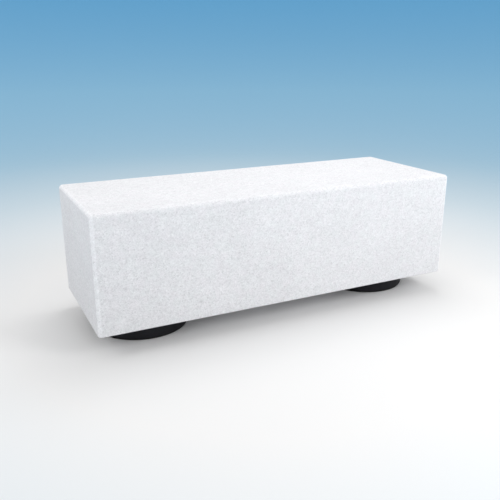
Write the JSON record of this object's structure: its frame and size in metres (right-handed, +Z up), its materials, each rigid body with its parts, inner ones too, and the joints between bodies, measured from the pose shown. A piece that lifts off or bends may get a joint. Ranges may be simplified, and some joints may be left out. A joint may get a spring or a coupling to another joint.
{
  "type": "backless bench",
  "caption": "Rectangular cast-stone bench block with rounded edges, bolted onto round black steel feet near its ends.",
  "frame": {"origin": "centre of the bench's footprint, on the ground that its pads stand on", "axes": "+Z up, +X along the length, -Y towards the front; the front and back are alike"},
  "size_m": [1.4, 0.5, 0.48],
  "materials": {
    "cast_stone": "fine sandblasted cast stone, very pale cool grey",
    "black_steel": "matt black powder coat over galvanised steel",
    "black_rubber": "matt black EPDM",
    "zinc_steel": "bright zinc plate",
    "reinforcement": "mill scale with a light rust bloom"
  },
  "bodies": {
    "root": {"seat_block": "cast_stone", "bottom_bars": "reinforcement", "top_bars": "reinforcement", "side_bars": "reinforcement", "stirrups": "reinforcement", "foot_sockets_left": "zinc_steel", "foot_sockets_right": "zinc_steel", "anchor_socket_left": "zinc_steel", "anchor_socket_right": "zinc_steel", "socket_pins_left": "reinforcement", "socket_pins_right": "reinforcement", "foot_gasket_left": "black_rubber", "foot_gasket_right": "black_rubber", "foot_top_plate_left": "black_steel", "foot_top_plate_right": "black_steel", "foot_skirt_left": "black_steel", "foot_skirt_right": "black_steel", "foot_hub_left": "black_steel", "foot_hub_right": "black_steel", "foot_ribs_left": "black_steel", "foot_ribs_right": "black_steel", "foot_base_ring_left": "black_steel", "foot_base_ring_right": "black_steel", "foot_pad_left": "black_rubber", "foot_pad_right": "black_rubber", "foot_bolts_left": "zinc_steel", "foot_bolts_right": "zinc_steel", "foot_washers_left": "zinc_steel", "foot_washers_right": "zinc_steel"}
  },
  "joints": []
}
